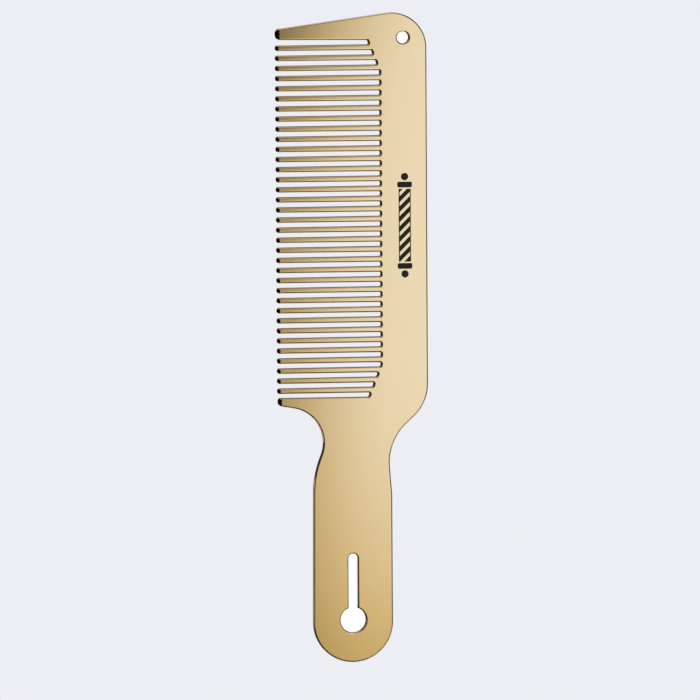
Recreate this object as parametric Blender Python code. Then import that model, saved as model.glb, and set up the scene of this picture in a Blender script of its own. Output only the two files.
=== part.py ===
"""Clipper comb: one metal plate with a row of teeth, a straight spine and a paddle handle.

The plan is drawn in millimetres: x runs from the tooth tips (x = 0) to the spine, and y from the end
of the handle (y = 0) to the nose.  The finished comb is in metres.  It lies on its back face at z = 0,
with its front face up, the nose towards +Y, the spine towards +X, and the origin under its middle.
"""

import math

import bmesh
import bpy
from mathutils import Matrix, Vector

MM = 0.001

# Plate
LENGTH = 228.6
WIDTH = 53.4
THICKNESS = 2.5
EDGE_BREAK = 0.3
CHORD_ERROR = 0.03
WELD_DISTANCE = 0.01
SHARP_ANGLE = math.radians(30)

# Nose: the far end, which slopes down from the spine side to the first tooth
NOSE_SLOPE = 0.136
NOSE_RADIUS = 12.4

# Teeth: straight gaps, a little wider at the tips, cut into the plate at a constant pitch
GAP_COUNT = 36
GAP_PITCH = 3.538
LOWEST_GAP_Y = 94.45
GAP_AT_TIP = 1.7
GAP_AT_ROOT = 1.56
ROOT_X = 36.85
TIP_RADIUS = 0.84
ROOT_RADIUS = 0.5

# The gap ends step back towards the tips beyond these two heights, by this much for each millimetre
RAMP_LOW_Y = 104.8
RAMP_HIGH_Y = 208.3
RAMP_SLOPE = 0.405

# Guard teeth: the two wide outer teeth.  The lower one is the hook beside the handle.  The corner beside
# the nearest gap is raised, so the nose tooth tapers and the hook tooth widens towards its tip.
NOSE_TOOTH_RADII = (1.75, 1.8)
NOSE_TOOTH_RISE = 0.28
HOOK_TOOTH_RADII = (1.0, 1.4)
HOOK_TOOTH_RISE = 0.18
HOOK_SETBACK = 0.2
HOOK_UNDERSIDE_Y = 91.15

# Tooth tips, seen from the side: a round nose, blunted where its two halves meet.  The angles are the
# places along its curve where it has corners.
TIP_NOSE_LENGTH = 1.25
GUARD_NOSE_LENGTH = 1.6
TIP_NOSE_BLUNT = 0.06
TIP_NOSE_ANGLES = (48, 90)

# Handle
HANDLE_LEFT = 12.2
HANDLE_RIGHT = 40.55
HANDLE_END_RADIUS = 14.1

# Corners of the outer edge between the handle and the toothed part: x, y and radius
RIGHT_WAIST = (40.5, 59.0, 21.0)
RIGHT_NECK = (39.0, 77.8, 18.9)
SHOULDER = (WIDTH, 91.3, 15.5)
LEFT_NECK = (21.1, 87.4, 12.5)
LEFT_WAIST = (12.65, 66.7, 35.0)

# Keyhole in the handle and the small hanging hole in the nose
KEYHOLE_CENTRE = (26.45, 14.9)
KEYHOLE_HEAD_RADIUS = 4.55
KEYHOLE_SLOT_WIDTH = 3.25
KEYHOLE_TOP_Y = 38.4
HANGING_HOLE_CENTRE = (45.03, 219.8)
HANGING_HOLE_RADIUS = 2.12

GOLD = (0.79, 0.62, 0.36, 1.0)
GOLD_ROUGHNESS = 0.3


def arc(centre, start, turn):
    """Points that turn the vector start about the centre, as close to the circle as CHORD_ERROR."""
    widest_step = 2 * math.acos(1 - CHORD_ERROR / start.length)
    steps = math.ceil(abs(turn) / widest_step)
    return [centre + Matrix.Rotation(turn * step / steps, 2) @ start for step in range(steps + 1)]


def rounded(corners):
    """Closed outline through corners (x, y, radius), each rounded by an arc tangent to both its sides."""
    points = []
    for index, (x, y, radius) in enumerate(corners):
        corner = Vector((x, y))
        to_last = (Vector(corners[index - 1][:2]) - corner).normalized()
        to_next = (Vector(corners[(index + 1) % len(corners)][:2]) - corner).normalized()
        half_angle = to_last.angle(to_next) / 2
        centre = corner + (to_last + to_next).normalized() * radius / math.sin(half_angle)
        start = corner + to_last * radius / math.tan(half_angle) - centre
        turn = math.copysign(math.pi - 2 * half_angle, to_next.cross(to_last))
        points += arc(centre, start, turn)
    return points


def root_x(y):
    """Where the gaps end at height y."""
    return ROOT_X - RAMP_SLOPE * max(0.0, RAMP_LOW_Y - y, y - RAMP_HIGH_Y)


def gap_corners(centre_y):
    """Corners of one gap from its upper tip to its lower tip."""
    upper_root = centre_y + GAP_AT_ROOT / 2
    lower_root = centre_y - GAP_AT_ROOT / 2
    return [
        (0.0, centre_y + GAP_AT_TIP / 2, TIP_RADIUS),
        (root_x(upper_root), upper_root, ROOT_RADIUS),
        (root_x(lower_root), lower_root, ROOT_RADIUS),
        (0.0, centre_y - GAP_AT_TIP / 2, TIP_RADIUS),
    ]


def tooth_corners():
    """Corners of the whole toothed side, from the nose tooth down to the hook tooth."""
    corners = []
    for index in reversed(range(GAP_COUNT)):
        corners += gap_corners(LOWEST_GAP_Y + index * GAP_PITCH)
    corners[0] = (0.0, corners[0][1] + NOSE_TOOTH_RISE, NOSE_TOOTH_RADII[1])
    corners[-1] = (HOOK_SETBACK, corners[-1][1] + HOOK_TOOTH_RISE, HOOK_TOOTH_RADII[0])
    return corners


def nose_line_y(x):
    """Height of the nose's straight upper side, which puts the top of the nose's round at LENGTH."""
    rise = NOSE_RADIUS * (math.hypot(1, NOSE_SLOPE) - 1)
    return LENGTH + rise - NOSE_SLOPE * (WIDTH - NOSE_RADIUS - x)


def comb_outline():
    """Outer edge, anticlockwise from the right-hand corner of the handle's end."""
    right_side = [
        (HANDLE_RIGHT, 0.0, HANDLE_END_RADIUS),
        RIGHT_WAIST,
        RIGHT_NECK,
        SHOULDER,
        (WIDTH, nose_line_y(WIDTH), NOSE_RADIUS),
        (0.0, nose_line_y(0.0), NOSE_TOOTH_RADII[0]),
    ]
    left_side = [
        (HOOK_SETBACK, HOOK_UNDERSIDE_Y, HOOK_TOOTH_RADII[1]),
        LEFT_NECK,
        LEFT_WAIST,
        (HANDLE_LEFT, 0.0, HANDLE_END_RADIUS),
    ]
    return rounded(right_side + tooth_corners() + left_side)


def hanging_hole():
    """Round hole, clockwise."""
    return arc(Vector(HANGING_HOLE_CENTRE), Vector((HANGING_HOLE_RADIUS, 0)), -math.tau)[:-1]


def keyhole():
    """Round head with a straight slot above it, clockwise from the slot's left foot."""
    centre = Vector(KEYHOLE_CENTRE)
    half_width = KEYHOLE_SLOT_WIDTH / 2
    foot = Vector((half_width, math.sqrt(KEYHOLE_HEAD_RADIUS ** 2 - half_width ** 2)))
    slot_end = Vector((centre.x, KEYHOLE_TOP_Y - half_width))
    head_turn = math.tau - 2 * math.atan2(foot.x, foot.y)
    return arc(slot_end, Vector((-half_width, 0)), -math.pi) + arc(centre, foot, -head_turn)


def inset(outline, distance):
    """The outline moved into the metal, which lies on its left-hand side."""
    moved = []
    for index, point in enumerate(outline):
        behind = (point - outline[index - 1]).normalized().orthogonal()
        ahead = (outline[(index + 1) % len(outline)] - point).normalized().orthogonal()
        moved.append(point + (behind + ahead) * distance / (1 + behind.dot(ahead)))
    return moved


def add_wall(bm, outline):
    """Wall of one outline with both its edges broken.  Returns the edges where the faces start."""
    sections = [
        (EDGE_BREAK, 0.0),
        (0.0, EDGE_BREAK),
        (0.0, THICKNESS - EDGE_BREAK),
        (EDGE_BREAK, THICKNESS),
    ]
    rings = []
    for distance, height in sections:
        rings.append([bm.verts.new((*point, height)) for point in inset(outline, distance)])
    for lower, upper in zip(rings, rings[1:]):
        for index in range(len(outline)):
            bm.faces.new((lower[index - 1], lower[index], upper[index], upper[index - 1]))
    rims = (rings[0], rings[-1])
    return [[bm.edges.get((rim[index - 1], rim[index])) for index in range(len(rim))] for rim in rims]


def nose_length(y):
    """Length of the round nose at the tip of the tooth at height y: longer on the two guard teeth."""
    is_slim = LOWEST_GAP_Y < y < LOWEST_GAP_Y + (GAP_COUNT - 1) * GAP_PITCH
    return TIP_NOSE_LENGTH if is_slim else GUARD_NOSE_LENGTH


def round_tooth_tips(bm):
    """Thin the plate towards the tips, to a round nose in the middle of its thickness."""
    for length in (TIP_NOSE_LENGTH, GUARD_NOSE_LENGTH):
        for angle in TIP_NOSE_ANGLES:
            station = length * (1 - math.cos(math.radians(angle))) - TIP_NOSE_BLUNT
            everything = bm.verts[:] + bm.edges[:] + bm.faces[:]
            bmesh.ops.bisect_plane(
                bm, geom=everything, dist=WELD_DISTANCE, plane_co=(station, 0, 0), plane_no=(1, 0, 0)
            )
    middle = THICKNESS / 2
    for vertex in bm.verts:
        share = min((vertex.co.x + TIP_NOSE_BLUNT) / nose_length(vertex.co.y), 1.0)
        vertex.co.z = middle + (vertex.co.z - middle) * math.sqrt(1 - (1 - share) ** 2)


def comb_mesh():
    """The closed solid, in metres, about the origin under its middle."""
    bm = bmesh.new()
    rims = [add_wall(bm, outline) for outline in (comb_outline(), keyhole(), hanging_hole())]
    for face_edges in zip(*rims):
        bmesh.ops.triangle_fill(bm, use_beauty=True, edges=[edge for loop in face_edges for edge in loop])
    round_tooth_tips(bm)
    bmesh.ops.triangulate(bm, faces=bm.faces[:])
    bmesh.ops.recalc_face_normals(bm, faces=bm.faces[:])
    bm.transform(Matrix.Scale(MM, 4) @ Matrix.Translation((-WIDTH / 2, -LENGTH / 2, 0)))
    mesh = bpy.data.meshes.new("comb_plate")
    bm.to_mesh(mesh)
    bm.free()
    mesh.shade_smooth()
    mesh.set_sharp_from_angle(angle=SHARP_ANGLE)
    return mesh


def gold_metal():
    """Satin gold-coloured metal."""
    material = bpy.data.materials.new("gold_metal")
    material.use_nodes = True
    shader = material.node_tree.nodes["Principled BSDF"]
    shader.inputs["Base Color"].default_value = GOLD
    shader.inputs["Metallic"].default_value = 1.0
    shader.inputs["Roughness"].default_value = GOLD_ROUGHNESS
    return material


def main():
    for leftover in list(bpy.data.objects):
        bpy.data.objects.remove(leftover)
    plate = bpy.data.objects.new("comb_plate", comb_mesh())
    plate.data.materials.append(gold_metal())
    bpy.context.scene.collection.objects.link(plate)


main()
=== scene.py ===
"""Looks of the metal clipper comb: the finished plate, its brushed gold metal and a printed motif.

The plate is drawn in millimetres like the CAD plate that it replaces: x from the tooth tips to the
spine, y from the end of the handle to the nose, z from the back face to the front.  The CAD node's
box places it in the frame.
"""

import math

import bmesh
import bpy
from mathutils import Matrix, Vector


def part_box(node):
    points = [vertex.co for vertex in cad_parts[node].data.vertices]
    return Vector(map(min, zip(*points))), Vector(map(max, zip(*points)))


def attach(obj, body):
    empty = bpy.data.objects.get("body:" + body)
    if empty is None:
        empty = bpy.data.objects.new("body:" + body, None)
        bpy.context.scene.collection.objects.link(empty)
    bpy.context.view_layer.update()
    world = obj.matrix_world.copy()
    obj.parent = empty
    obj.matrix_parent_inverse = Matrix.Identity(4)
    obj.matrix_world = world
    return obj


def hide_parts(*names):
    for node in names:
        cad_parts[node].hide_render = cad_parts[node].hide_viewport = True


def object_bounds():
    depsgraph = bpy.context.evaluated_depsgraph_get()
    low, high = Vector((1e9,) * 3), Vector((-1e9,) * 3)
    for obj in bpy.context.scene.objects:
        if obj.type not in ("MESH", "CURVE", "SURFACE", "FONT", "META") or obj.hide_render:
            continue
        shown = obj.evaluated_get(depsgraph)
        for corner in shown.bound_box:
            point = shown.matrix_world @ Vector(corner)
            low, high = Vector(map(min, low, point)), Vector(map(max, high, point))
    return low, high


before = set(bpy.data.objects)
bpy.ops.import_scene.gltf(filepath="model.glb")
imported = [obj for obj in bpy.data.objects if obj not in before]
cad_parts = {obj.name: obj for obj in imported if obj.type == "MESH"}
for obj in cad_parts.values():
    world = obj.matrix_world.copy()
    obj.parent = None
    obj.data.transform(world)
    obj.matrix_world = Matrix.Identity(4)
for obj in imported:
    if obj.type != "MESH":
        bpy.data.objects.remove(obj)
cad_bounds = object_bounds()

MM = 0.001

# Plate.  The edges are rounder between the teeth, except near the tips, and blend from one radius to
# the other.  A flat margin beside each round edge keeps its shading off the faces.
LENGTH = 228.6
WIDTH = 53.4
THICKNESS = 2.5
EDGE_RADIUS = 0.45
TOOTH_EDGE_RADIUS = 0.6
TOOTH_EDGE_START = 4.0
EDGE_BLEND = 1.5
EDGE_STEPS = 5
SHADING_MARGIN = 0.14
CHORD_ERROR = 0.004
WELD_DISTANCE = 0.002

# Nose: the far end, which slopes down from the spine side to the first tooth
NOSE_SLOPE = 0.136
NOSE_RADIUS = 12.4

# Teeth: straight gaps, a little wider at the tips, cut into the plate at a constant pitch
GAP_COUNT = 36
GAP_PITCH = 3.538
LOWEST_GAP_Y = 94.45
GAP_AT_TIP = 1.7
GAP_AT_ROOT = 1.56
ROOT_X = 36.85
TIP_RADIUS = 0.84
ROOT_RADIUS = 0.5

# The gap ends step back towards the tips beyond these two heights, by this much for each millimetre
RAMP_LOW_Y = 104.8
RAMP_HIGH_Y = 208.3
RAMP_SLOPE = 0.405

# Guard teeth: the two wide outer teeth.  The lower one is the hook beside the handle.  The corner beside
# the nearest gap is raised, so the nose tooth tapers and the hook tooth widens towards its tip.
NOSE_TOOTH_RADII = (1.75, 1.8)
NOSE_TOOTH_RISE = 0.28
HOOK_TOOTH_RADII = (1.0, 1.4)
HOOK_TOOTH_RISE = 0.18
HOOK_SETBACK = 0.2
HOOK_UNDERSIDE_Y = 91.15

# Tooth tips, seen from the side: a round nose, blunted where its two halves meet.  The angles are the
# places along its curve where it has corners.
TIP_NOSE_LENGTH = 1.25
GUARD_NOSE_LENGTH = 1.6
TIP_NOSE_BLUNT = 0.06
TIP_NOSE_ANGLES = (22, 35, 48, 60, 75, 90)

# Handle
HANDLE_LEFT = 12.2
HANDLE_RIGHT = 40.55
HANDLE_END_RADIUS = 14.1

# Corners of the outer edge between the handle and the toothed part: x, y and radius
RIGHT_WAIST = (40.5, 59.0, 21.0)
RIGHT_NECK = (39.0, 77.8, 18.9)
SHOULDER = (WIDTH, 91.3, 15.5)
LEFT_NECK = (21.1, 87.4, 12.5)
LEFT_WAIST = (12.65, 66.7, 35.0)

# Keyhole in the handle and the small hanging hole in the nose
KEYHOLE_CENTRE = (26.45, 14.9)
KEYHOLE_HEAD_RADIUS = 4.55
KEYHOLE_SLOT_WIDTH = 3.25
KEYHOLE_TOP_Y = 38.4
HANGING_HOLE_CENTRE = (45.03, 219.8)
HANGING_HOLE_RADIUS = 2.12

# Printed motif on the spine
PRINT_CENTRE = (45.4, 153.95)
INK_THICKNESS = 0.02
POLE_WIDTH = 3.6
POLE_LENGTH = 25.6
POLE_GAP = 0.5
STRIPE_PITCH = 3.5
STRIPE_WIDTH = 2.1
RAIL_WIDTH = 0.35
CAP_WIDTH = 5.2
CAP_LENGTH = 2.0
CAP_RADIUS = 0.6
KNOB_RADIUS = 1.3

# Materials.  The noise's features have these sizes along X, Y and Z, in millimetres like the relief's depth.
FACE_SLOT = 0
EDGE_SLOT = 1
GOLD_LOW = (0.84, 0.645, 0.35)
GOLD_HIGH = (0.86, 0.665, 0.37)
CLOUD_SIZE = (9.0, 30.0, 9.0)
BRUSHING_SIZE = (0.12, 9.0, 0.12)
BRUSHING_DETAIL = 4.0
BRUSHING_DEPTH = 0.00025
SATIN_ROUGHNESS = (0.19, 0.23)
POLISHING_SIZE = (4.0, 4.0, 0.15)
POLISHED_ROUGHNESS = (0.1, 0.16)
INK_LOW = (0.008, 0.008, 0.009)
INK_HIGH = (0.016, 0.016, 0.017)
INK_GRAIN_SIZE = (0.25, 0.25, 0.25)
INK_ROUGHNESS = (0.4, 0.6)

# Camera, in metres
CAMERA_AIM = (-0.00096, -0.00392, 0.0025)
CAMERA_DISTANCE = 2.5084
CAMERA_YAW = math.radians(7.971)
CAMERA_PITCH = math.radians(5.081)
CAMERA_ROLL = math.radians(0.334)
CAMERA_CLIP_END = 20.0
SENSOR_WIDTH = 36.0
FOCAL_LENGTH = 367.69

# World.  Heights and bearings are parts of a direction of length 1, and a fade runs from none to full.
BLACK = (0.0, 0.0, 0.0)
WHITE = (1.0, 1.0, 1.0)
BACKDROP = (0.8469, 0.8550, 0.8963)
SKY = [
    (-0.14, (0.01, 0.01, 0.01)),
    (-0.07, (0.4, 0.39, 0.37)),
    (0.07, (0.4, 0.39, 0.37)),
    (0.14, (0.003, 0.003, 0.003)),
]
UNDERSIDE_GRAY = (0.2, 0.2, 0.21)
UNDERSIDE_BEARING = (0.84, 0.54, 0.0)
UNDERSIDE_FADE = (-0.1, 0.14)
UNDERSIDE_HEIGHT_FADE = (-0.6, -0.8)
BEYOND_GRAY = (0.55, 0.55, 0.57)
BEYOND_FADE = (0.8, 0.95)
BEYOND_LOW_FADE = (-0.65, -0.45)
BEYOND_HIGH_FADE = (0.95, 0.8)

# Soft boxes, in metres: name, place, size, target and radiance of each
SOFT_BOX_COLOR = (1.0, 0.98, 0.95)
SOFT_BOXES = [
    ("low_back", (-0.42, 0.42, 0.28), (0.5, 0.24), (0.0, 0.0, 0.0), 0.9),
    ("low_front", (0.42, -0.42, 0.16), (0.5, 0.2), (0.0, 0.0, 0.0), 0.9),
    ("handle_side", (-0.08, -0.082, -0.02), (0.075, 0.045), (0.0, -0.082, -0.02), 1.4),
]

# Panel above the comb, in metres.  PANEL_Y holds its near side, where its level becomes full, where the
# level starts to fall again, and its far side.  PANEL_X holds the same from left to right, and the place
# where the level has fallen to PANEL_RIGHT_LEVEL, which it keeps up to the right side.  Each patch adds to
# the level: four limits in x, four in y, and how much.  PANEL_GLOW gives the colour at each level.
PANEL_HEIGHT = 0.2525
PANEL_TURN = math.radians(-4.2)
PANEL_X = (-0.010, 0.054, 0.080, 0.130, 0.150)
PANEL_Y = (-0.268, -0.030, 0.139, 0.186)
PANEL_RIGHT_LEVEL = 0.33
PANEL_PATCHES = [
    ((PANEL_X[0], 0.015, 0.015, 0.045), (-0.19, -0.09, -0.01, 0.05), 0.07),
    ((0.0, 0.02, 0.03, 0.05), (-0.02, 0.02, 0.06, 0.1), 0.16),
]
PANEL_STRENGTH = 1.59
PANEL_GLOW = [
    (0.0, (0.0, 0.0, 0.0)),
    (0.3, (0.297, 0.255, 0.158)),
    (0.5, (0.509, 0.428, 0.222)),
    (1.0, (0.688, 0.753, 0.938)),
]

# Floor and flag, in metres
FLOOR_REACH = 6.0
FLOOR_DROP = 0.0001
FLAG_DISTANCE = 0.001
FLAG_HEIGHT = 0.0034
FLAG_Y = (-0.03, 0.13)

# Cards close to the comb, in the plan's millimetres
CARD_DROP = 0.05
NOSE_CARD_X = (1.0, WIDTH - NOSE_RADIUS)
NOSE_CARD_DEPTH = 3.0
NOSE_CARD_COLOR = (0.5, 0.56, 0.9)
NOSE_SCREEN_GAP = 2.0
NOSE_SCREEN_HEIGHT = 4.0
NOSE_SCREEN_COLOR = (0.7, 0.7, 0.72)
KEYHOLE_CARD_MARGIN = 4.5
HOLE_CARD_MARGIN = 2.3
SLOT_CARD_COLOR = (0.5, 0.48, 0.46)


# Outlines

def arc(centre, start, turn):
    """Points that turn the vector start about the centre, as close to the circle as CHORD_ERROR."""
    widest_step = 2 * math.acos(1 - CHORD_ERROR / start.length)
    steps = math.ceil(abs(turn) / widest_step)
    return [centre + Matrix.Rotation(turn * step / steps, 2) @ start for step in range(steps + 1)]


def rounded(corners):
    """Closed outline through corners (x, y, radius), each rounded by an arc tangent to both its sides."""
    points = []
    for index, (x, y, radius) in enumerate(corners):
        corner = Vector((x, y))
        to_last = (Vector(corners[index - 1][:2]) - corner).normalized()
        to_next = (Vector(corners[(index + 1) % len(corners)][:2]) - corner).normalized()
        half_angle = to_last.angle(to_next) / 2
        centre = corner + (to_last + to_next).normalized() * radius / math.sin(half_angle)
        start = corner + to_last * radius / math.tan(half_angle) - centre
        turn = math.copysign(math.pi - 2 * half_angle, to_next.cross(to_last))
        points += arc(centre, start, turn)
    return points


def rectangle(left, bottom, right, top):
    """Corners of an upright rectangle, anticlockwise."""
    return [(left, bottom), (right, bottom), (right, top), (left, top)]


def root_x(y):
    """Where the gaps end at height y."""
    return ROOT_X - RAMP_SLOPE * max(0.0, RAMP_LOW_Y - y, y - RAMP_HIGH_Y)


def gap_corners(centre_y):
    """Corners of one gap from its upper tip to its lower tip."""
    upper_root = centre_y + GAP_AT_ROOT / 2
    lower_root = centre_y - GAP_AT_ROOT / 2
    return [
        (0.0, centre_y + GAP_AT_TIP / 2, TIP_RADIUS),
        (root_x(upper_root), upper_root, ROOT_RADIUS),
        (root_x(lower_root), lower_root, ROOT_RADIUS),
        (0.0, centre_y - GAP_AT_TIP / 2, TIP_RADIUS),
    ]


def tooth_corners():
    """Corners of the whole toothed side, from the nose tooth down to the hook tooth."""
    corners = []
    for index in reversed(range(GAP_COUNT)):
        corners += gap_corners(LOWEST_GAP_Y + index * GAP_PITCH)
    corners[0] = (0.0, corners[0][1] + NOSE_TOOTH_RISE, NOSE_TOOTH_RADII[1])
    corners[-1] = (HOOK_SETBACK, corners[-1][1] + HOOK_TOOTH_RISE, HOOK_TOOTH_RADII[0])
    return corners


def nose_line_y(x):
    """Height of the nose's straight upper side, which puts the top of the nose's round at LENGTH."""
    rise = NOSE_RADIUS * (math.hypot(1, NOSE_SLOPE) - 1)
    return LENGTH + rise - NOSE_SLOPE * (WIDTH - NOSE_RADIUS - x)


def comb_outline():
    """Outer edge, anticlockwise from the right-hand corner of the handle's end."""
    right_side = [
        (HANDLE_RIGHT, 0.0, HANDLE_END_RADIUS),
        RIGHT_WAIST,
        RIGHT_NECK,
        SHOULDER,
        (WIDTH, nose_line_y(WIDTH), NOSE_RADIUS),
        (0.0, nose_line_y(0.0), NOSE_TOOTH_RADII[0]),
    ]
    left_side = [
        (HOOK_SETBACK, HOOK_UNDERSIDE_Y, HOOK_TOOTH_RADII[1]),
        LEFT_NECK,
        LEFT_WAIST,
        (HANDLE_LEFT, 0.0, HANDLE_END_RADIUS),
    ]
    return split_gap_sides(rounded(right_side + tooth_corners() + left_side))


def split_gap_sides(outline):
    """Adds a point to each long side of a gap, where its edge reaches its full radius."""
    points = []
    for index, point in enumerate(outline):
        last = outline[index - 1]
        near, far = sorted((last.x, point.x))
        if near < TOOTH_EDGE_START and ROOT_X / 2 < far < ROOT_X:
            points.append(last.lerp(point, (TOOTH_EDGE_START - last.x) / (point.x - last.x)))
        points.append(point)
    return points


def hanging_hole():
    """Round hole, clockwise."""
    return arc(Vector(HANGING_HOLE_CENTRE), Vector((HANGING_HOLE_RADIUS, 0)), -math.tau)[:-1]


def keyhole():
    """Round head with a straight slot above it, clockwise from the slot's left foot."""
    centre = Vector(KEYHOLE_CENTRE)
    half_width = KEYHOLE_SLOT_WIDTH / 2
    foot = Vector((half_width, math.sqrt(KEYHOLE_HEAD_RADIUS ** 2 - half_width ** 2)))
    slot_end = Vector((centre.x, KEYHOLE_TOP_Y - half_width))
    head_turn = math.tau - 2 * math.atan2(foot.x, foot.y)
    return arc(slot_end, Vector((-half_width, 0)), -math.pi) + arc(centre, foot, -head_turn)


def inset(outline, distances):
    """The outline with each point moved its own distance into the metal, which lies on the left-hand side."""
    moved = []
    for index, (point, distance) in enumerate(zip(outline, distances)):
        behind = (point - outline[index - 1]).normalized().orthogonal()
        ahead = (outline[(index + 1) % len(outline)] - point).normalized().orthogonal()
        moved.append(point + (behind + ahead) * distance / (1 + behind.dot(ahead)))
    return moved


# The finished plate

def edge_radius(point):
    """Radius of the round edge at a point of an outline: larger in the gaps, except near the tips."""
    half_row = ((GAP_COUNT - 1) * GAP_PITCH + GAP_AT_TIP) / 2
    row_middle = LOWEST_GAP_Y + (GAP_COUNT - 1) * GAP_PITCH / 2
    beyond = max(abs(point.y - row_middle) - half_row, point.x - ROOT_X, TOOTH_EDGE_START - point.x, 0.0)
    return EDGE_RADIUS + (TOOTH_EDGE_RADIUS - EDGE_RADIUS) * max(1 - beyond / EDGE_BLEND, 0.0)


def edge_sections(radius):
    """(inset, height) of each ring up the wall: round edges, and a flat margin beside each."""
    lower = [(radius + SHADING_MARGIN, 0.0)]
    for step in range(EDGE_STEPS + 1):
        angle = math.pi / 2 * step / EDGE_STEPS
        lower.append((radius * (1 - math.sin(angle)), radius * (1 - math.cos(angle))))
    return lower + [(distance, THICKNESS - height) for distance, height in reversed(lower)]


def add_wall(bm, outline):
    """Wall of one outline with round edges.  Returns the edges where the flat faces start."""
    sections = [edge_sections(edge_radius(point)) for point in outline]
    rings = []
    for ring in zip(*sections):
        distances, heights = zip(*ring)
        places = inset(outline, distances)
        rings.append([bm.verts.new((*place, height)) for place, height in zip(places, heights)])
    margins = (0, len(rings) - 2)
    for band, (lower, upper) in enumerate(zip(rings, rings[1:])):
        for index in range(len(outline)):
            wall = bm.faces.new((lower[index - 1], lower[index], upper[index], upper[index - 1]))
            wall.smooth = True
            wall.material_index = FACE_SLOT if band in margins else EDGE_SLOT
    rims = (rings[0], rings[-1])
    return [[bm.edges.get((rim[index - 1], rim[index])) for index in range(len(rim))] for rim in rims]


def nose_length(y):
    """Length of the round nose at the tip of the tooth at height y: longer on the two guard teeth."""
    is_slim = LOWEST_GAP_Y < y < LOWEST_GAP_Y + (GAP_COUNT - 1) * GAP_PITCH
    return TIP_NOSE_LENGTH if is_slim else GUARD_NOSE_LENGTH


def cut_across_tips(bm):
    """Cut the plate across the teeth wherever a tip's round nose has a corner, and just behind the nose."""
    stations = []
    for length in (TIP_NOSE_LENGTH, GUARD_NOSE_LENGTH):
        for angle in TIP_NOSE_ANGLES:
            stations.append(length * (1 - math.cos(math.radians(angle))) - TIP_NOSE_BLUNT)
        stations.append(length - TIP_NOSE_BLUNT + SHADING_MARGIN)
    for station in stations:
        everything = bm.verts[:] + bm.edges[:] + bm.faces[:]
        bmesh.ops.bisect_plane(
            bm, geom=everything, dist=WELD_DISTANCE, plane_co=(station, 0, 0), plane_no=(1, 0, 0)
        )


def round_tooth_tips(bm):
    """Thin the plate towards the tips, to a round nose in the middle of its thickness."""
    cut_across_tips(bm)
    for face in bm.faces:
        middle = face.calc_center_median()
        nose_end = nose_length(middle.y) - TIP_NOSE_BLUNT
        if middle.x < nose_end + SHADING_MARGIN:
            face.smooth = True
        if middle.x < nose_end:
            face.material_index = EDGE_SLOT
    middle_z = THICKNESS / 2
    for vertex in bm.verts:
        share = min((vertex.co.x + TIP_NOSE_BLUNT) / nose_length(vertex.co.y), 1.0)
        vertex.co.z = middle_z + (vertex.co.z - middle_z) * math.sqrt(1 - (1 - share) ** 2)


def plan_to_frame():
    """The move from the plan's millimetres into the frame."""
    return Matrix.Translation(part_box("comb_plate")[0]) @ Matrix.Scale(MM, 4)


def new_piece(name, bm, materials):
    """Object made of the drawn mesh, moved into the frame."""
    bmesh.ops.recalc_face_normals(bm, faces=bm.faces[:])
    bm.transform(plan_to_frame())
    mesh = bpy.data.meshes.new(name)
    bm.to_mesh(mesh)
    bm.free()
    for material in materials:
        mesh.materials.append(material)
    piece = bpy.data.objects.new(name, mesh)
    bpy.context.scene.collection.objects.link(piece)
    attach(piece, "root")
    return piece


def finished_plate():
    """The whole plate as one closed mesh with round edges."""
    bm = bmesh.new()
    rims = [add_wall(bm, outline) for outline in (comb_outline(), keyhole(), hanging_hole())]
    for face_edges in zip(*rims):
        bmesh.ops.triangle_fill(bm, use_beauty=True, edges=[edge for loop in face_edges for edge in loop])
    round_tooth_tips(bm)
    plate = new_piece("comb_finish", bm, [satin_gold(), polished_gold()])
    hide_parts("comb_plate")


# The printed motif: a striped barber's pole with a rail along each side, caps and knobs

def pole_stripes():
    """Diagonal stripes of the pole, as convex polygons cut off square at the pole's ends."""
    half_width, half_length = POLE_WIDTH / 2, POLE_LENGTH / 2
    stripes = []
    count = math.ceil((POLE_LENGTH + POLE_WIDTH) / STRIPE_PITCH)
    for index in range(count + 1):
        foot = -half_length - POLE_WIDTH + index * STRIPE_PITCH
        corners = [
            (-half_width, foot),
            (half_width, foot + POLE_WIDTH),
            (half_width, foot + POLE_WIDTH + STRIPE_WIDTH),
            (-half_width, foot + STRIPE_WIDTH),
        ]
        corners = cut_off(corners, half_length, 1)
        corners = cut_off(corners, half_length, -1)
        if len(corners) > 2:
            stripes.append(corners)
    return stripes


def cut_off(corners, limit, side):
    """The part of a convex polygon where side * y is below the limit."""
    kept = []
    for index, (x, y) in enumerate(corners):
        last_x, last_y = corners[index - 1]
        inside, was_inside = side * y < limit, side * last_y < limit
        if inside != was_inside:
            share = (side * limit - last_y) / (y - last_y)
            kept.append((last_x + (x - last_x) * share, side * limit))
        if inside:
            kept.append((x, y))
    return kept


def pole_rails():
    """Thin lines along both sides of the pole."""
    inner, outer = POLE_WIDTH / 2, POLE_WIDTH / 2 + RAIL_WIDTH
    half_length = POLE_LENGTH / 2
    return [
        rectangle(-outer, -half_length, -inner, half_length),
        rectangle(inner, -half_length, outer, half_length),
    ]


def pole_ends():
    """A rounded cap beyond each end of the pole, and a knob beyond each cap."""
    shapes = []
    for end in (1, -1):
        middle = end * (POLE_LENGTH / 2 + POLE_GAP + CAP_LENGTH / 2)
        half_width, half_length = CAP_WIDTH / 2, CAP_LENGTH / 2
        shapes.append(rounded([
            (half_width, middle - half_length, CAP_RADIUS),
            (half_width, middle + half_length, CAP_RADIUS),
            (-half_width, middle + half_length, CAP_RADIUS),
            (-half_width, middle - half_length, CAP_RADIUS),
        ]))
        knob = end * (POLE_LENGTH / 2 + 2 * POLE_GAP + CAP_LENGTH + KNOB_RADIUS)
        shapes.append(arc(Vector((0, knob)), Vector((KNOB_RADIUS, 0)), math.tau)[:-1])
    return shapes


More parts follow.
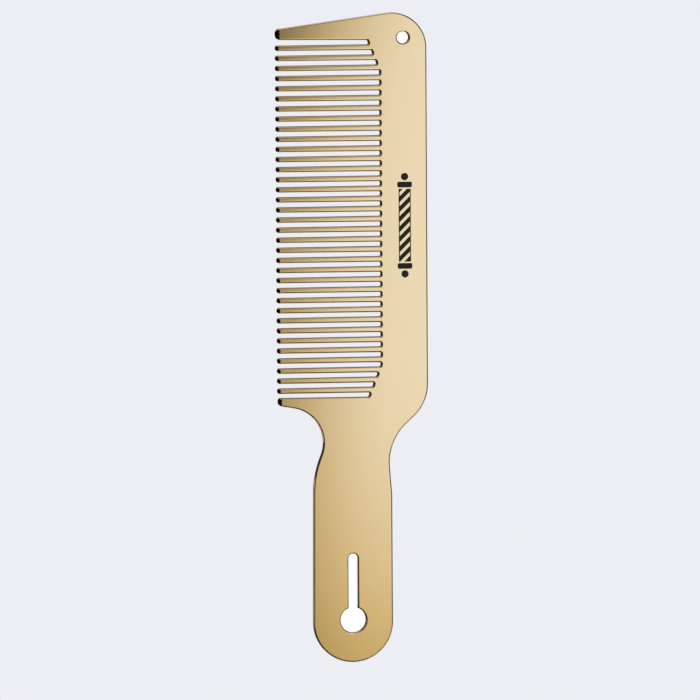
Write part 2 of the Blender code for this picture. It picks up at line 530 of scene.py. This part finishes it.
def spine_print():
    """Ink film on the spine."""
    bm = bmesh.new()
    for shape in pole_stripes() + pole_rails() + pole_ends():
        lower = [bm.verts.new((x, y, 0.0)) for x, y in shape]
        upper = [bm.verts.new((x, y, INK_THICKNESS)) for x, y in shape]
        bm.faces.new(lower)
        bm.faces.new(upper)
        for index in range(len(shape)):
            bm.faces.new((lower[index - 1], lower[index], upper[index], upper[index - 1]))
    bm.transform(Matrix.Translation((*PRINT_CENTRE, THICKNESS)))
    new_piece("spine_print", bm, [printed_ink()])


# Shading nodes

def new_material(name):
    """A node material, its tree and its Principled shader."""
    material = bpy.data.materials.new(name)
    material.use_nodes = True
    return material, material.node_tree, material.node_tree.nodes["Principled BSDF"]


def streaks(tree, spacing, detail=3.0):
    """Noise from 0 to 1 whose features measure the given millimetres along X, Y and Z."""
    coordinates = tree.nodes.new("ShaderNodeTexCoord")
    mapping = tree.nodes.new("ShaderNodeMapping")
    mapping.inputs["Scale"].default_value = [1 / (size * MM) for size in spacing]
    noise = tree.nodes.new("ShaderNodeTexNoise")
    noise.inputs["Scale"].default_value = 1.0
    noise.inputs["Detail"].default_value = detail
    tree.links.new(coordinates.outputs["Object"], mapping.inputs["Vector"])
    tree.links.new(mapping.outputs["Vector"], noise.inputs["Vector"])
    return noise.outputs["Fac"]


def spread(tree, value, low, high, is_smooth=False, value_low=0.0, value_high=1.0):
    """The value mapped from its own range, 0 to 1 if it isn't given, onto another."""
    node = tree.nodes.new("ShaderNodeMapRange")
    node.interpolation_type = "SMOOTHSTEP" if is_smooth else "LINEAR"
    node.inputs["From Min"].default_value = value_low
    node.inputs["From Max"].default_value = value_high
    node.inputs["To Min"].default_value = low
    node.inputs["To Max"].default_value = high
    tree.links.new(value, node.inputs["Value"])
    return node.outputs["Result"]


def fade(tree, value, limits, is_smooth=False):
    """0 at the first limit and beyond it, 1 at the second and beyond it."""
    start, end = limits
    if start < end:
        return spread(tree, value, 0.0, 1.0, is_smooth, start, end)
    return spread(tree, value, 1.0, 0.0, is_smooth, end, start)


def color_stops(tree, share, stops):
    """Colour ramp through the (position, colour) stops."""
    node = tree.nodes.new("ShaderNodeValToRGB")
    elements = node.color_ramp.elements
    for _ in stops[2:]:
        elements.new(0.5)
    for element, (position, color) in zip(elements, stops):
        element.position = position
        element.color = (*color, 1)
    tree.links.new(share, node.inputs["Fac"])
    return node.outputs["Color"]


def math_chain(tree, operation, values):
    """All the values joined by one operation."""
    total = values[0]
    for value in values[1:]:
        node = tree.nodes.new("ShaderNodeMath")
        node.operation = operation
        tree.links.new(total, node.inputs[0])
        tree.links.new(value, node.inputs[1])
        total = node.outputs[0]
    return total


def product(tree, *values):
    """All the values multiplied."""
    return math_chain(tree, "MULTIPLY", values)


def between(tree, value, limits):
    """1 between the middle two of four limits, falling smoothly to 0 at the outer two."""
    rise = fade(tree, value, limits[:2], is_smooth=True)
    fall = fade(tree, value, (limits[3], limits[2]), is_smooth=True)
    return product(tree, rise, fall)


def blend_colors(tree, share, low, high):
    """Colour between two colours.  The low one may come from another node."""
    node = tree.nodes.new("ShaderNodeMix")
    node.data_type = "RGBA"
    if isinstance(low, tuple):
        node.inputs["A"].default_value = (*low, 1)
    else:
        tree.links.new(low, node.inputs["A"])
    node.inputs["B"].default_value = (*high, 1)
    tree.links.new(share, node.inputs["Factor"])
    return node.outputs["Result"]


def bump(tree, shader, height, distance):
    """Relief of the given depth in metres."""
    node = tree.nodes.new("ShaderNodeBump")
    node.inputs["Strength"].default_value = 1.0
    node.inputs["Distance"].default_value = distance
    tree.links.new(height, node.inputs["Height"])
    tree.links.new(node.outputs["Normal"], shader.inputs["Normal"])


# Materials

def satin_gold():
    """Satin gold with fine brushing along the comb."""
    material, tree, shader = new_material("satin_gold")
    shader.inputs["Metallic"].default_value = 1.0
    cloud = streaks(tree, CLOUD_SIZE)
    tree.links.new(blend_colors(tree, cloud, GOLD_LOW, GOLD_HIGH), shader.inputs["Base Color"])
    brushing = streaks(tree, BRUSHING_SIZE, BRUSHING_DETAIL)
    tree.links.new(spread(tree, brushing, *SATIN_ROUGHNESS), shader.inputs["Roughness"])
    bump(tree, shader, brushing, BRUSHING_DEPTH * MM)
    return material


def polished_gold():
    """The same gold, smoother, with polishing lines that run round the edges."""
    material, tree, shader = new_material("polished_gold")
    shader.inputs["Metallic"].default_value = 1.0
    lines = streaks(tree, POLISHING_SIZE)
    tree.links.new(blend_colors(tree, lines, GOLD_LOW, GOLD_HIGH), shader.inputs["Base Color"])
    tree.links.new(spread(tree, lines, *POLISHED_ROUGHNESS), shader.inputs["Roughness"])
    return material


def printed_ink():
    """Black ink with a slight sheen and an uneven surface."""
    material, tree, shader = new_material("printed_ink")
    grain = streaks(tree, INK_GRAIN_SIZE)
    tree.links.new(blend_colors(tree, grain, INK_LOW, INK_HIGH), shader.inputs["Base Color"])
    tree.links.new(spread(tree, grain, *INK_ROUGHNESS), shader.inputs["Roughness"])
    return material


# World

def underside_share(tree, direction, height):
    """1 for the directions far below the comb, towards its spine and nose."""
    sideways = tree.nodes.new("ShaderNodeVectorMath")
    sideways.operation = "DOT_PRODUCT"
    sideways.inputs[1].default_value = UNDERSIDE_BEARING
    tree.links.new(direction, sideways.inputs[0])
    side = fade(tree, sideways.outputs["Value"], UNDERSIDE_FADE)
    return product(tree, side, fade(tree, height, UNDERSIDE_HEIGHT_FADE))


def beyond_share(tree, direction, height):
    """1 for the directions beyond the nose, at any height that isn't close to straight up or down."""
    level_part = tree.nodes.new("ShaderNodeVectorMath")
    level_part.operation = "MULTIPLY"
    level_part.inputs[1].default_value = (1.0, 1.0, 0.0)
    tree.links.new(direction, level_part.inputs[0])
    bearing = tree.nodes.new("ShaderNodeVectorMath")
    bearing.operation = "NORMALIZE"
    tree.links.new(level_part.outputs["Vector"], bearing.inputs[0])
    split = tree.nodes.new("ShaderNodeSeparateXYZ")
    tree.links.new(bearing.outputs["Vector"], split.inputs[0])
    return product(
        tree,
        fade(tree, split.outputs["Y"], BEYOND_FADE),
        fade(tree, height, BEYOND_LOW_FADE),
        fade(tree, height, BEYOND_HIGH_FADE),
    )


def mirrored_surroundings(tree):
    """What the metal mirrors: rings of light by height, a gray underside and a paler side beyond the nose."""
    direction = tree.nodes.new("ShaderNodeTexCoord").outputs["Generated"]
    split = tree.nodes.new("ShaderNodeSeparateXYZ")
    tree.links.new(direction, split.inputs[0])
    height = split.outputs["Z"]
    stops = [((level + 1) / 2, color) for level, color in SKY]
    sky = color_stops(tree, fade(tree, height, (-1.0, 1.0)), stops)
    over_underside = blend_colors(tree, underside_share(tree, direction, height), sky, UNDERSIDE_GRAY)
    return blend_colors(tree, beyond_share(tree, direction, height), over_underside, BEYOND_GRAY)


def studio_world():
    """The surroundings: the backdrop's pale colour to the camera, and a darker studio to the metal."""
    world = bpy.data.worlds.new("studio")
    world.use_nodes = True
    tree = world.node_tree
    tree.nodes.clear()
    felt = tree.nodes.new("ShaderNodeBackground")
    tree.links.new(mirrored_surroundings(tree), felt.inputs["Color"])
    seen = tree.nodes.new("ShaderNodeBackground")
    seen.inputs["Color"].default_value = (*BACKDROP, 1)
    mix = tree.nodes.new("ShaderNodeMixShader")
    output = tree.nodes.new("ShaderNodeOutputWorld")
    tree.links.new(tree.nodes.new("ShaderNodeLightPath").outputs["Is Camera Ray"], mix.inputs["Fac"])
    tree.links.new(felt.outputs[0], mix.inputs[1])
    tree.links.new(seen.outputs[0], mix.inputs[2])
    tree.links.new(mix.outputs[0], output.inputs["Surface"])
    bpy.context.scene.world = world


# Studio pieces

def soft_box(name, location, size, target, radiance):
    """Rectangular light that faces the target."""
    light = bpy.data.lights.new(name, "AREA")
    light.shape = "RECTANGLE"
    light.size, light.size_y = size
    light.color = SOFT_BOX_COLOR
    light.energy = radiance * math.pi * size[0] * size[1]
    lamp = bpy.data.objects.new(name, light)
    lamp.location = location
    lamp.rotation_euler = (Vector(target) - lamp.location).to_track_quat("-Z", "Y").to_euler()
    bpy.context.scene.collection.objects.link(lamp)
    lamp.visible_camera = False


def sheet(name, corners, shader_type, color):
    """Flat piece of the studio, with a shader of one colour."""
    mesh = bpy.data.meshes.new(name)
    mesh.from_pydata(corners, [], [(0, 1, 2, 3)])
    piece = bpy.data.objects.new(name, mesh)
    bpy.context.scene.collection.objects.link(piece)
    material = bpy.data.materials.new(name)
    material.use_nodes = True
    tree = material.node_tree
    tree.nodes.clear()
    shader = tree.nodes.new(shader_type)
    shader.inputs["Color"].default_value = (*color, 1)
    output = tree.nodes.new("ShaderNodeOutputMaterial")
    tree.links.new(shader.outputs[0], output.inputs["Surface"])
    mesh.materials.append(material)
    return piece


def pale_floor():
    """Wide glowing floor, which the metal doesn't mirror."""
    level = cad_bounds[0][2] - FLOOR_DROP
    corners = [(x, y, level) for x, y in rectangle(-FLOOR_REACH, -FLOOR_REACH, FLOOR_REACH, FLOOR_REACH)]
    floor = sheet("floor", corners, "ShaderNodeEmission", BACKDROP)
    floor.visible_glossy = False
    floor.visible_shadow = False


def black_flag():
    """Black card beside the tooth tips, which see it as a dark reflection."""
    x = cad_bounds[0][0] - FLAG_DISTANCE
    corners = [(x, y, z) for y, z in rectangle(FLAG_Y[0], 0.0, FLAG_Y[1], FLAG_HEIGHT)]
    sheet("flag", corners, "ShaderNodeBsdfDiffuse", BLACK).visible_camera = False


def card(name, corners, color):
    """Glowing card with corners in the plan's millimetres."""
    place = plan_to_frame()
    return sheet(name, [place @ Vector(corner) for corner in corners], "ShaderNodeEmission", color)


def table_card(name, corners, color):
    """Glowing card on the table under the comb."""
    return card(name, [(x, y, -CARD_DROP) for x, y in corners], color)


def nose_card():
    """Strip of table along the nose, which the nose's wall mirrors."""
    line = [(x, nose_line_y(x)) for x in NOSE_CARD_X]
    far_line = [(x, y + NOSE_CARD_DEPTH) for x, y in reversed(line)]
    table_card("nose_card", line + far_line, NOSE_CARD_COLOR).visible_camera = False


def nose_screen():
    """Upright glowing card beyond the nose, which the nose's round edge mirrors."""
    left, right = NOSE_CARD_X
    corners = []
    for x, z in rectangle(left, 0.0, right, NOSE_SCREEN_HEIGHT):
        corners.append((x, nose_line_y(x) + NOSE_SCREEN_GAP, z))
    card("nose_screen", corners, NOSE_SCREEN_COLOR).visible_camera = False


def hole_glow_cards():
    """Glowing cards under both holes: painted light that makes the floor seen through the holes brighter than
    the backdrop.
    """
    x, y = KEYHOLE_CENTRE
    half = KEYHOLE_HEAD_RADIUS + KEYHOLE_CARD_MARGIN
    corners = rectangle(x - half, y - half, x + half, KEYHOLE_TOP_Y + KEYHOLE_CARD_MARGIN)
    # Painted light: a glowing patch under the keyhole, brighter than the backdrop
    table_card("keyhole_card", corners, WHITE).visible_glossy = False
    x, y = HANGING_HOLE_CENTRE
    half = HANGING_HOLE_RADIUS + HOLE_CARD_MARGIN
    corners = rectangle(x - half, y - half, x + half, y + half)
    # Painted light: a glowing patch under the hanging hole, brighter than the backdrop
    table_card("hole_card", corners, WHITE).visible_glossy = False


def slot_card():
    """Strip of table under the keyhole's slot, which the slot's wall mirrors."""
    x, y = KEYHOLE_CENTRE
    half = KEYHOLE_SLOT_WIDTH / 2
    corners = rectangle(x - half, y + KEYHOLE_HEAD_RADIUS, x + half, KEYHOLE_TOP_Y)
    table_card("slot_card", corners, SLOT_CARD_COLOR).visible_camera = False


def panel_level(tree):
    """Level of the panel's glow over its width and length, with the patches added."""
    split = tree.nodes.new("ShaderNodeSeparateXYZ")
    tree.links.new(tree.nodes.new("ShaderNodeTexCoord").outputs["Object"], split.inputs[0])
    x, y = split.outputs["X"], split.outputs["Y"]
    left, full_left, full_right, low_right, _ = PANEL_X
    levels = [product(
        tree,
        fade(tree, x, (left, full_left), is_smooth=True),
        spread(tree, x, 1.0, PANEL_RIGHT_LEVEL, False, full_right, low_right),
        between(tree, y, PANEL_Y),
    )]
    for x_limits, y_limits, extra in PANEL_PATCHES:
        patch = product(tree, between(tree, x, x_limits), between(tree, y, y_limits))
        levels.append(spread(tree, patch, 0.0, extra))
    return math_chain(tree, "ADD", levels)


def overhead_panel():
    """Glowing panel above the comb: cool and bright in its middle, dim and warm towards its edges."""
    corners = [(x, y, 0.0) for x, y in rectangle(PANEL_X[0], PANEL_Y[0], PANEL_X[-1], PANEL_Y[-1])]
    panel = sheet("panel", corners, "ShaderNodeEmission", BLACK)
    tree = panel.active_material.node_tree
    shader = tree.nodes["Emission"]
    tree.links.new(color_stops(tree, panel_level(tree), PANEL_GLOW), shader.inputs["Color"])
    shader.inputs["Strength"].default_value = PANEL_STRENGTH
    panel.matrix_world = Matrix.Translation((0, 0, PANEL_HEIGHT)) @ Matrix.Rotation(PANEL_TURN, 4, "Z")
    panel.visible_camera = False


def add_camera():
    """Camera above the front face, leaning a little towards the nose and the tooth tips."""
    turn = (
        Matrix.Rotation(-CAMERA_YAW, 4, "Y")
        @ Matrix.Rotation(-CAMERA_PITCH, 4, "X")
        @ Matrix.Rotation(-CAMERA_ROLL, 4, "Z")
    )
    data = bpy.data.cameras.new("camera")
    data.sensor_width = SENSOR_WIDTH
    data.lens = FOCAL_LENGTH
    data.clip_end = CAMERA_CLIP_END
    camera = bpy.data.objects.new("camera", data)
    camera.matrix_world = Matrix.Translation(CAMERA_AIM) @ turn @ Matrix.Translation((0, 0, CAMERA_DISTANCE))
    bpy.context.scene.collection.objects.link(camera)
    bpy.context.scene.camera = camera


def main():
    bpy.context.scene.view_settings.view_transform = "Standard"
    add_camera()
    finished_plate()
    spine_print()
    studio_world()
    pale_floor()
    black_flag()
    nose_card()
    nose_screen()
    hole_glow_cards()
    slot_card()
    overhead_panel()
    for light in SOFT_BOXES:
        soft_box(*light)


main()
